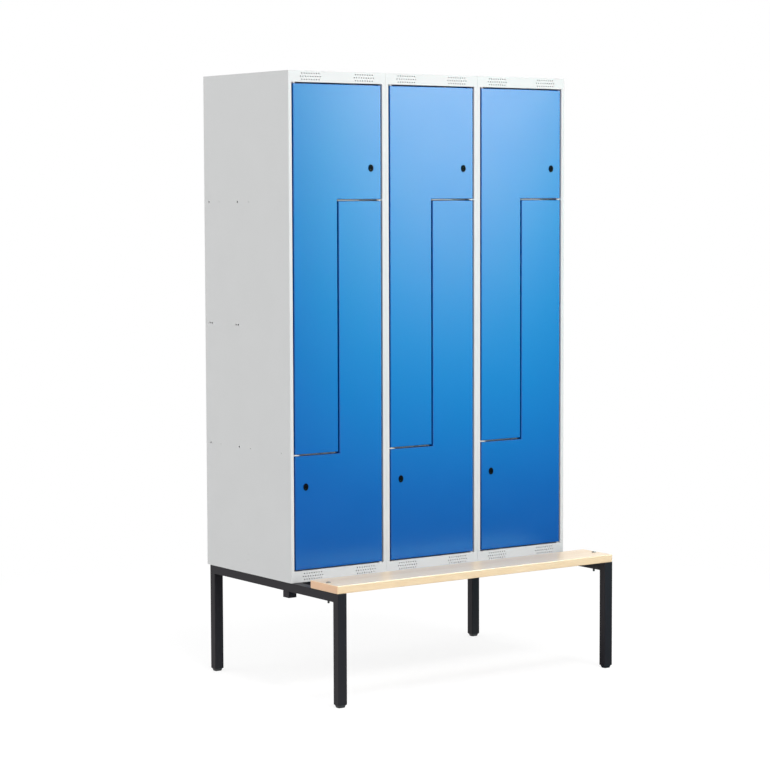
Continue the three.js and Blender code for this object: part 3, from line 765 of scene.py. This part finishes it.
def inset(outline, amount):
    """Draws an outline of right angles, given counter-clockwise, inwards."""
    moved = []
    for i, here in enumerate(outline):
        before, after = outline[i - 1], outline[(i + 1) % len(outline)]
        shift = Vector((0, 0))
        for a, b in ((before, here), (here, after)):
            along = Vector(b) - Vector(a)
            along.normalize()
            shift += Vector((-along.y, along.x)) * amount
        moved.append((here[0] + shift.x, here[1] + shift.y))
    return moved


half_cut = 3 * mm
pan_back = recess + 18 * mm
front_fold, back_fold, lip = 1.8 * mm, 1.5 * mm, 8 * mm
outline = [
    (-half_door, half_cut - cut),
    (-half_cut, half_cut - cut),
    (-half_cut, cut + half_cut),
    (half_door, cut + half_cut),
    (half_door, door_top),
    (-half_door, door_top),
]
steps = arc(front_fold, recess + front_fold, front_fold, 270, 180, 5)
steps += [*arc(back_fold, pan_back - back_fold, back_fold, 180, 90), (sheet + lip, pan_back)]
shape = lofted([[(x, y, z) for x, z in inset(outline, out)] for out, y in steps], True, False)
front_face = max(shape.faces, key=lambda f: f.calc_area())
if front_face.normal.y > 0:
    bmesh.ops.reverse_faces(shape, faces=shape.faces)
lock_inset, lock_rise = 42.5 * mm, 110 * mm
lock_x, lock_z = half_door - lock_inset, cut + lock_rise
lock_bore, pin_bore, bore_length = 17.6 * mm, 6.6 * mm, 12 * mm
holes = bmesh.new()
drill_rods(holes, [("Y", (lock_x, recess, lock_z), lock_bore, bore_length)], 32)
for z in (door_top, half_cut - cut):
    drill_rods(holes, [("Z", (pivot.x, pivot.y, z), pin_bore, bore_length)], 24)
one_door = settle(
    shown("door pattern", shape, door_coat), wall=sheet, cutter=shown("door holes", holes, door_coat)
)
rib_x, rib_front = -(half_door + half_cut) / 2, recess + sheet
rib_foot, rib_head = 27 * mm - cut, door_top - 24 * mm
# The stiffener's hat section, in mm.
hat = [(-27, 0), (-20, 0), (-20, 9), (20, 9), (20, 0), (27, 0), (27, 1), (21, 1), (21, 10)]
hat += [(-21, 10), (-21, 1), (-27, 1)]
shape = lofted(
    [[(rib_x + x * mm, rib_front + y * mm, z) for x, y in hat] for z in (rib_foot, rib_head)]
)
one_rib = settle(shown("rib pattern", shape, door_coat), 0.4 * mm, 2)


def set_in_module(patterns, made, level, name):
    """The patterns as one piece in a module, turned half round where it's the lower one."""
    shape = bmesh.new()
    for pattern in patterns:
        shape.from_mesh(pattern.data)
    if level == "lower":
        shape.transform(Matrix.Rotation(math.pi, 4, "Y"))
    shape.transform(Matrix.Translation(module_origin[name]))
    return settle(shown(f"{made}_{level}_{name}", shape, patterns[0].data.materials[0]))


for level in ("upper", "lower"):
    for name in ("left", "centre", "right"):
        piece = set_in_module([one_door, one_rib], "z_door", level, name)
        seat(piece, f"{level}_door_{name}", "door_paint", f"door_{level}_{name}")
bpy.data.objects.remove(one_door)
bpy.data.objects.remove(one_rib)

# Locks: an oval black housing clipped through the door and held by a thin hexagon nut, and
# in it a black plug with its key slot, which carries a flat zinc-plated cam and its screw.
lock_black = moulded_plastic("black glass-filled plastic", "#060608", 0.5, 1.5 * mm, 0.08)
lock_black.node_tree.nodes["Principled BSDF"].inputs["Specular IOR Level"].default_value = 0.05


def oval(width, height, y, steps=36):
    """An oval of points round the lock's axis at a depth."""
    turns = [2 * math.pi * i / steps for i in range(steps)]
    return [
        (lock_x + width / 2 * math.cos(turn), y, lock_z + height / 2 * math.sin(turn))
        for turn in turns
    ]


def stack(rings, start, steps=36):
    """Rings of (width, distance past the start), in mm: round, or hexagons in six steps."""
    return [oval(width * mm, width * mm, start + y * mm, steps) for width, y in rings]


face_back = recess - 0.3 * mm
face_front = face_back - 1.7 * mm
barrel_back, plug_front, cam_front = 24.4 * mm, face_front + 0.4 * mm, 24.8 * mm
# The housing as (width, height, depth), its width and height in mm.
housing = [
    (11, 11, barrel_back),
    (16.4, 16.4, barrel_back),
    (17, 17, barrel_back - 0.4 * mm),
    (17, 17, face_back),
    (20, 24.6, face_back),
    (20.4, 25, face_back - 0.3 * mm),
    (20.2, 24.8, face_front + 0.6 * mm),
    (19.2, 23.8, face_front + 0.1 * mm),
    (18, 22.6, face_front),
    (16.6, 20.8, face_front + 0.15 * mm),
    (12, 12.6, face_front + 0.5 * mm),
    (11.2, 11.2, face_front + 0.7 * mm),
    (11, 11, barrel_back),
]
shape = bmesh.new()
loft(shape, [oval(w * mm, h * mm, y) for w, h, y in housing], False, False)
bmesh.ops.remove_doubles(shape, verts=shape.verts, dist=0.01 * mm)
bmesh.ops.recalc_face_normals(shape, faces=shape.faces)
one_housing = settle(shown("housing pattern", shape, lock_black))
plug_rings = stack([(9.4, 0), (10.2, 0.3), (10.4, 0.7)], plug_front)
shape = lofted([*plug_rings, *stack([(10.4, 0.5)], cam_front)])
slot = bmesh.new()
slot_size = Matrix.Diagonal((1.6 * mm, 16 * mm, 7 * mm, 1))
slot_place = Matrix.Translation((lock_x, plug_front, lock_z))
bmesh.ops.create_cube(slot, size=1, matrix=slot_place @ slot_size)
plug = settle(shown("plug pattern", shape, lock_black), cutter=shown("key slot", slot, lock_black))
half_cam, cam_thickness, behind_return = 7 * mm, 2 * mm, 8 * mm
reach = opening.x / 2 + behind_return - lock_x
blade = arc(lock_x, lock_z, half_cam, 180, 360, 10)
blade += arc(lock_x, lock_z + reach - half_cam, half_cam, 0, 180, 10)
shape = lofted([[(x, y, z) for x, z in blade] for y in (cam_front, cam_front + cam_thickness)])
cam = settle(shown("cam pattern", shape, zinc), 0.3 * mm, 2)
shape = lofted(stack([(9, 1.5), (9, 5.2), (7, 6)], cam_front, 6))
cam_screw = settle(shown("screw pattern", shape, zinc))
shape = lofted(stack([(22, 0), (24, 0.6), (24, 3.4), (22, 4)], recess + sheet, 6))
lock_nut = settle(shown("nut pattern", shape, zinc))
for level in ("upper", "lower"):
    for name in ("left", "centre", "right"):
        for patterns, made, body, finish, node in (
            ([one_housing], "lock_face", "door", "lock_plastic", "lock_housing"),
            ([lock_nut], "lock_nut", "door", "zinc_steel", None),
            ([plug], "lock_plug", "cam", "lock_plastic", None),
            ([cam, cam_screw], "lock_blade", "cam", "zinc_steel", "lock_cam"),
        ):
            piece = set_in_module(patterns, made, level, name)
            stands_for = [f"{node}_{level}_{name}"] if node else []
            seat(piece, f"{level}_{body}_{name}", finish, *stands_for)
for pattern in (one_housing, plug, cam, cam_screw, lock_nut):
    bpy.data.objects.remove(pattern)

# Coat rails
# Zinc-plated steel tube, 16 mm, pushed into pressed cups that are screwed to the walls.
# Double hooks of 5 mm wire hang from it.


def hook_row_tree():
    """Geometry tree that hangs hooks along a rail."""
    tree = bpy.data.node_groups.new("hooks along a rail", "GeometryNodeTree")
    face = tree.interface
    face.new_socket("Count", in_out="INPUT", socket_type="NodeSocketInt")
    for name in ("Pitch", "Wire", "Half Span", "Drop", "Rise", "Bend"):
        face.new_socket(name, in_out="INPUT", socket_type="NodeSocketFloat")
    face.new_socket("Material", in_out="INPUT", socket_type="NodeSocketMaterial")
    face.new_socket("Geometry", in_out="OUTPUT", socket_type="NodeSocketGeometry")
    given = add_node(tree, "NodeGroupInput").outputs
    span = {0: given["Half Span"], 1: given["Drop"], 2: given["Rise"]}
    sizes = add_node(tree, "ShaderNodeCombineXYZ", links=span).outputs[0]
    corners = []
    for across, down, up in ((0, 0, 0), (0, 1, 0), (-1, 1, 1), (-1, 1, 0), (1, 1, 0), (1, 1, 1)):
        y, z = (
            add_node(tree, "ShaderNodeVectorMath", {"operation": "DOT_PRODUCT"}, {0: sizes, 1: share})
            for share in ((across, 0, 0), (0, -down, up))
        )
        spot = {1: y.outputs["Value"], 2: z.outputs["Value"]}
        corners.append(add_node(tree, "ShaderNodeCombineXYZ", links=spot).outputs[0])
    lines = add_node(tree, "GeometryNodeJoinGeometry")
    for a, b in ((0, 1), (2, 3), (3, 4), (4, 5)):
        ends = {"Start": corners[a], "End": corners[b]}
        line = add_node(tree, "GeometryNodeCurvePrimitiveLine", links=ends)
        mesh = add_node(tree, "GeometryNodeCurveToMesh", links={0: line.outputs[0]})
        tree.links.new(mesh.outputs[0], lines.inputs[0])
    joined = add_node(
        tree,
        "GeometryNodeMergeByDistance",
        links={"Geometry": lines.outputs[0], "Distance": 0.5 * mm},
    )
    wire = add_node(tree, "GeometryNodeMeshToCurve", links={0: joined.outputs[0]})
    bent = add_node(
        tree,
        "GeometryNodeFilletCurve",
        links={"Curve": wire.outputs[0], "Radius": given["Bend"]},
    )
    radius = add_node(
        tree, "ShaderNodeMath", {"operation": "MULTIPLY"}, {0: given["Wire"], 1: 0.5}
    )
    section = add_node(
        tree,
        "GeometryNodeCurvePrimitiveCircle",
        links={"Resolution": 12, "Radius": radius.outputs[0]},
    )
    hook = add_node(
        tree,
        "GeometryNodeCurveToMesh",
        links={"Curve": bent.outputs[0], "Profile Curve": section.outputs[0], "Fill Caps": True},
    )
    step = add_node(tree, "ShaderNodeCombineXYZ", links={0: given["Pitch"]}).outputs[0]
    first = add_node(
        tree,
        "ShaderNodeMath",
        {"operation": "MULTIPLY_ADD"},
        {0: given["Count"], 1: -0.5, 2: 0.5},
    )
    start = add_node(
        tree,
        "ShaderNodeVectorMath",
        {"operation": "SCALE"},
        {0: step, "Scale": first.outputs[0]},
    )
    places = add_node(
        tree,
        "GeometryNodeMeshLine",
        {"mode": "OFFSET"},
        {"Count": given["Count"], "Start Location": start.outputs[0], "Offset": step},
    )
    hung = add_node(
        tree,
        "GeometryNodeInstanceOnPoints",
        links={"Points": places.outputs[0], "Instance": hook.outputs[0]},
    )
    real = add_node(tree, "GeometryNodeRealizeInstances", links={0: hung.outputs[0]})
    made = add_node(
        tree,
        "GeometryNodeSetMaterial",
        links={"Geometry": real.outputs[0], "Material": given["Material"]},
    )
    add_node(tree, "NodeGroupOutput", links={0: made.outputs[0]})
    return tree


hook_tree = hook_row_tree()
hook_sizes = {"Pitch": 90 * mm, "Wire": 5 * mm, "Half Span": 19.5 * mm, "Bend": 7 * mm}
hook_sizes |= {"Drop": 30 * mm, "Rise": 13 * mm, "Material": zinc}
cup_radius = 15 * mm
# One end of the rail as (radius, distance from the wall), in mm: its cup, then the tube.
cup = [(7, 0.5), (14.2, 0), (15, 0.8), (14.4, 1.6), (10.4, 2.2), (9.8, 3), (8, 3)]
for level, count in (("upper", 3), ("lower", 2)):
    for name in ("left", "centre", "right"):
        node = f"coat_rail_{level}_{name}"
        low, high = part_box(node)
        centre = Vector(((low.x + high.x) / 2, (low.y + high.y) / 2, high.z - cup_radius))
        half = (high.x - low.x) / 2
        profile = [(r * mm, past * mm - half) for r, past in cup]
        rod = bmesh.new()
        turned_shape(rod, (0, 0), profile + [(r, -z) for r, z in reversed(profile)])
        rod.transform(Matrix.Rotation(math.pi / 2, 4, "Y"))
        tube_mesh = bpy.data.meshes.new("rail")
        rod.to_mesh(tube_mesh)
        rod.free()
        shape = bmesh.new()
        shape.from_mesh(grown("hooks", hook_tree, {"Count": count, **hook_sizes}))
        shape.from_mesh(tube_mesh)
        shape.transform(Matrix.Translation(centre))
        bmesh.ops.recalc_face_normals(shape, faces=shape.faces)
        rail = settle(shown(f"rail_{level}_{name}", shape, zinc))
        seat(rail, "locker", "zinc_steel", node)

# Camera
# The photograph's viewing angle, solved from the edges of the body: 35.4 degrees to the left
# of straight ahead and 4.5 degrees above level, with a long lens.
camera = bpy.data.objects.new("camera", bpy.data.cameras.new("camera"))
bpy.context.scene.collection.objects.link(camera)
bpy.context.scene.camera = camera
camera_spot = (-5.079, -6.998, 1.708)
turn, rise, roll = math.radians(-35.38), math.radians(4.50), math.radians(0.19)
ahead = -Vector((math.sin(turn) * math.cos(rise), -math.cos(turn) * math.cos(rise), math.sin(rise)))
level_right = ahead.cross(Vector((0, 0, 1))).normalized()
level_down = ahead.cross(level_right)
right = math.cos(roll) * level_right + math.sin(roll) * level_down
down = -math.sin(roll) * level_right + math.cos(roll) * level_down
rows = [(right[i], -down[i], -ahead[i], camera_spot[i]) for i in range(3)]
camera.matrix_world = Matrix(rows + [(0, 0, 0, 1)])
picture_width, focal_length = 770, 2424
camera.data.sensor_width = 36
camera.data.lens = focal_length / picture_width * camera.data.sensor_width

# Studio
# A pale floor that fades to white and an even white surround, which metal and gloss mirror
# too. For gloss alone there are dark flags in front to the right and, before them, a panel
# of coloured strips, blue at its foot and white above, that makes the doors' gradient.


def flagged_share(tree, ray, direction):
    """1 where a glossy ray points within 44 degrees of the flags' middle, 0 from 60 on."""
    unit = add_node(tree, "ShaderNodeVectorMath", {"operation": "NORMALIZE"}, {0: direction})
    flags_middle = (0.63, -0.77, 0)
    middle = add_node(
        tree,
        "ShaderNodeVectorMath",
        {"operation": "DOT_PRODUCT"},
        {0: unit.outputs[0], 1: flags_middle},
    )
    near = add_node(
        tree,
        "ShaderNodeMapRange",
        {"interpolation_type": "SMOOTHSTEP"},
        {"Value": middle.outputs["Value"], "From Min": 0.5, "From Max": 0.72},
    )
    share = {0: ray.outputs["Is Glossy Ray"], 1: near.outputs[0]}
    return add_node(tree, "ShaderNodeMath", {"operation": "MULTIPLY"}, share).outputs[0]


def staged(tree, ray, flagged, lit, white):
    """One shader for light, one for what the camera, gloss and glass see, and the flags."""
    seen = ray.outputs["Is Camera Ray"]
    for kind in ("Is Glossy Ray", "Is Transmission Ray"):
        either = {0: seen, 1: ray.outputs[kind]}
        seen = add_node(tree, "ShaderNodeMath", {"operation": "MAXIMUM"}, either).outputs[0]
    shown_light = add_node(tree, "ShaderNodeMixShader", links={0: seen, 1: lit, 2: white})
    kind = "ShaderNodeBackground" if tree.nodes.get("World Output") else "ShaderNodeEmission"
    flags = add_node(tree, kind, links={"Color": linear("#003F59"), "Strength": 1.0})
    sides = {0: flagged, 1: shown_light.outputs[0], 2: flags.outputs[0]}
    return add_node(tree, "ShaderNodeMixShader", links=sides).outputs[0]


floor_shape = bmesh.new()
bmesh.ops.create_circle(floor_shape, cap_ends=True, segments=96, radius=60)
floor_material, tree, shader, place = new_material("studio floor", 0.9)
shader.inputs["Base Color"].default_value = linear("#CFCFCF")
shader.inputs["Specular IOR Level"].default_value = 0.0
ray = add_node(tree, "ShaderNodeLightPath")
plain_white = linear("#FFFFFF")
soft = add_node(tree, "ShaderNodeBsdfDiffuse", links={"Color": linear("#898989")})
lift = add_node(tree, "ShaderNodeEmission", links={"Color": plain_white, "Strength": 0.78})
glow = add_node(tree, "ShaderNodeEmission", links={"Color": plain_white, "Strength": 1.0})
lifted = add_node(tree, "ShaderNodeAddShader", links={0: soft.outputs[0], 1: lift.outputs[0]})
away = add_node(tree, "ShaderNodeVectorMath", {"operation": "LENGTH"}, {0: place})
fade = add_node(
    tree,
    "ShaderNodeMapRange",
    {"interpolation_type": "SMOOTHSTEP"},
    {"Value": away.outputs["Value"], "From Min": 1.4, "From Max": 2.8},
)
ground = {0: fade.outputs[0], 1: lifted.outputs[0], 2: glow.outputs[0]}
white = add_node(tree, "ShaderNodeMixShader", links=ground).outputs[0]
surface = staged(tree, ray, flagged_share(tree, ray, place), shader.outputs[0], white)
tree.links.new(surface, tree.nodes["Material Output"].inputs["Surface"])
floor = shown("studio_floor", floor_shape, floor_material)

world = bpy.data.worlds.new("studio")
bpy.context.scene.world = world
world.use_nodes = True
tree = world.node_tree
ray = add_node(tree, "ShaderNodeLightPath")
outward = add_node(tree, "ShaderNodeTexCoord").outputs["Generated"]
dim, bright = (
    add_node(tree, "ShaderNodeBackground", links={"Color": plain_white, "Strength": level}).outputs[0]
    for level in (0.8, 1.0)
)
surface = staged(tree, ray, flagged_share(tree, ray, outward), dim, bright)
tree.links.new(surface, tree.nodes["World Output"].inputs["Surface"])

out_of_gloss = bpy.data.collections.new("right side, kept out of the lights for gloss")
out_of_gloss.objects.link(bpy.data.objects["body_side_right"])
out_of_gloss.collection_objects[0].light_linking.link_state = "EXCLUDE"


def area_lamp(name, spot, aim, size, radiance, colour=(1, 1, 1), gloss_only=False):
    """A rectangular lamp that looks from one point at another, by its radiance."""
    lamp = bpy.data.lights.new(name, "AREA")
    lamp.shape = "RECTANGLE"
    lamp.size, lamp.size_y = size
    lamp.energy = radiance * math.pi * size[0] * size[1]
    lamp.color = colour
    holder = bpy.data.objects.new(name, lamp)
    holder.location = spot
    holder.rotation_euler = (Vector(aim) - Vector(spot)).to_track_quat("-Z", "Y").to_euler()
    holder.visible_diffuse = not gloss_only
    if gloss_only:
        holder.light_linking.receiver_collection = out_of_gloss
    bpy.context.scene.collection.objects.link(holder)


panel_foot, panel_width, strip_height = Vector((1.84, -2.53, 0.1)), 1.45, 0.3
warm_before, first_warm, last_rise = Vector((-0.03, 0.10, 0)), 3, 7.5
for i in range(1, 10):
    spot = panel_foot + Vector((0, 0, (i + 0.5) * strip_height))
    aim = (0.02, -0.15, spot.z)
    rise = min(i, last_rise)
    green, blue, red = 1.0 + 1.6 * rise, 2.6 + 1.15 * rise, 2.1 * rise - 5.0
    size = (panel_width, strip_height)
    area_lamp(f"cool strip {i}", spot, aim, size, 1.0, (0, green, blue), True)
    if i >= first_warm:
        size = (0.15 * (rise + 1), strip_height)
        area_lamp(f"warm strip {i}", spot + warm_before, aim, size, red, (1, 0, 0), True)
area_lamp("edge light", (2.9, -0.6, 5.2), (0, -0.1, 1.2), (3.0, 2.0), 20.0, gloss_only=True)
area_lamp("softbox front", (0, -5.0, 2.4), (0, 0, 1.2), (2.4, 2.4), 4.2)
area_lamp("softbox left", (-5.0, 1.5, 3.6), (0, 0, 1.2), (3.0, 2.4), 2.35)
area_lamp("softbox overhead", (-0.4, -2.5, 7.0), (-0.1, -0.4, 0.4), (3.0, 3.0), 8.0)
bpy.context.scene.view_settings.view_transform = "Standard"
